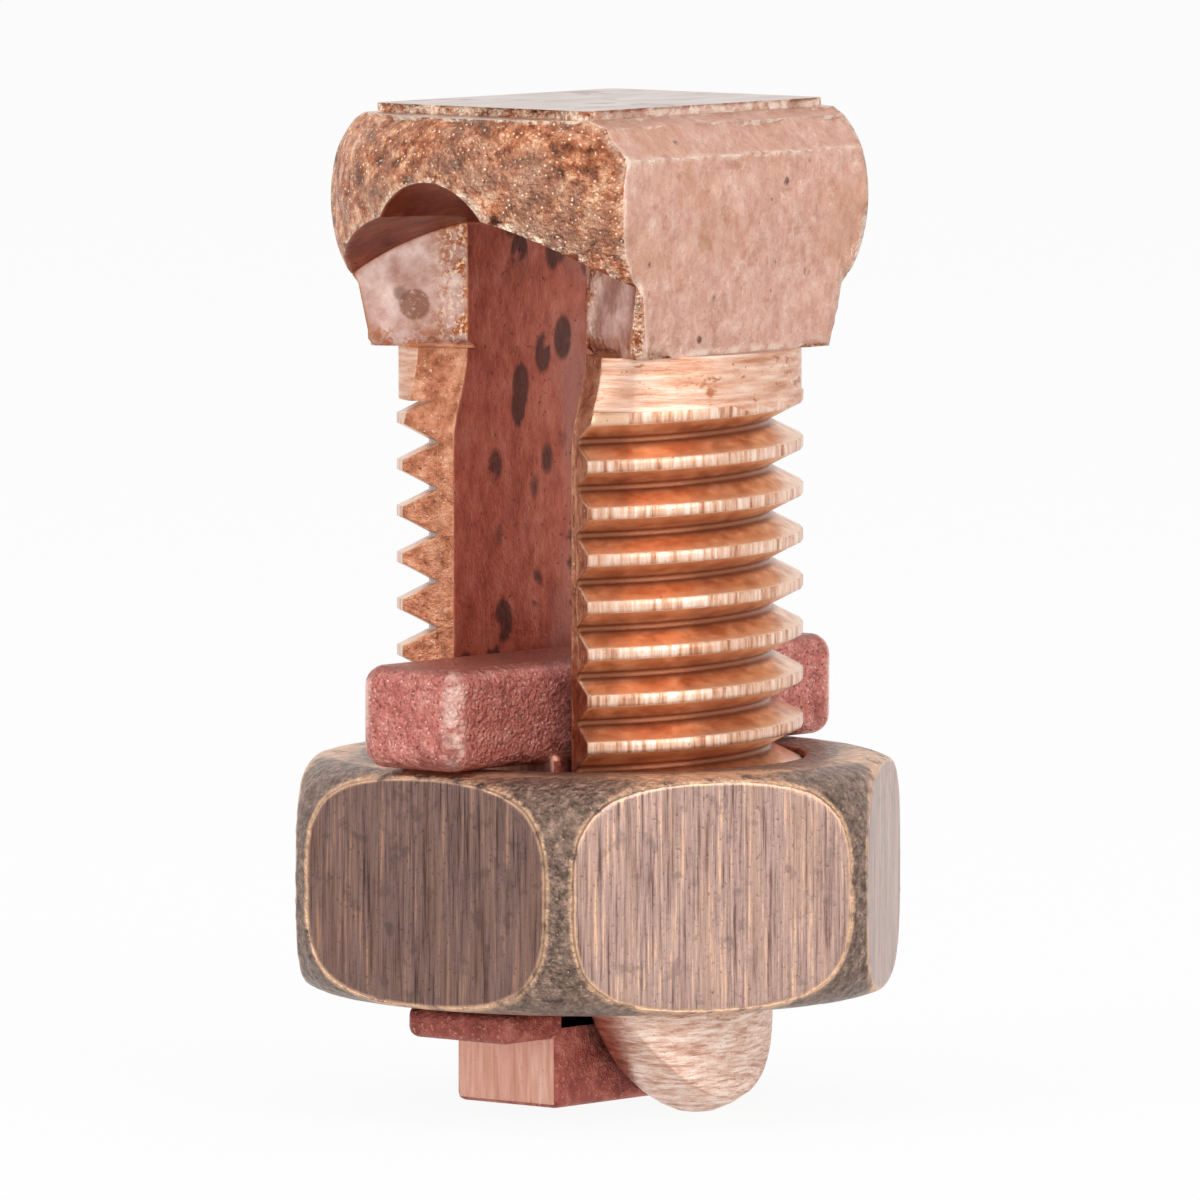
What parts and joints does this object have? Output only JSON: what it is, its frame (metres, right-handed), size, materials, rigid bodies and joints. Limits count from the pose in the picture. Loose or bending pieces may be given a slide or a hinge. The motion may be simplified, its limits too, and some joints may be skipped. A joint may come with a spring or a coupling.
{
  "type": "split bolt connector",
  "caption": "Split bolt wire connector: a slotted copper-alloy bolt with a captive pressure bar and a hexagon nut that clamp wires laid through the slot.",
  "frame": {"origin": "middle of the bounding box at the height of the leg tips, on the bolt's axis", "axes": "+Z along the bolt's axis from the leg tips to the head; Y along the slot, the way the conductors lie; X across the two legs"},
  "size_m": [0.0176, 0.0164, 0.0275],
  "materials": {
    "bolt_copper": "worn machined copper alloy with rough cast brows",
    "bar_copper": "fine sand-textured copper alloy",
    "nut_bronze": "brushed flats, rough browned corners"
  },
  "bodies": {
    "bolt": {"split_bolt": "bolt_copper"},
    "bar": {"pressure_bar": "bar_copper"},
    "nut": {"hex_nut": "nut_bronze"}
  },
  "joints": [
    {"name": "bar_travel", "type": "slide", "parent": "bolt", "child": "bar", "axis": [0, 0, 1], "range_m": [-0.01016, 0.00953]},
    {"name": "nut_turn", "type": "hinge", "parent": "bar", "child": "nut", "pos_m": [0, 0, 0.0064], "axis": [0, 0, 1], "range_deg": [-2881, 2701]}
  ],
  "couplings": [
    {"joint": "nut_turn", "follows": "bar_travel", "rad_per_m": 4947.4}
  ]
}
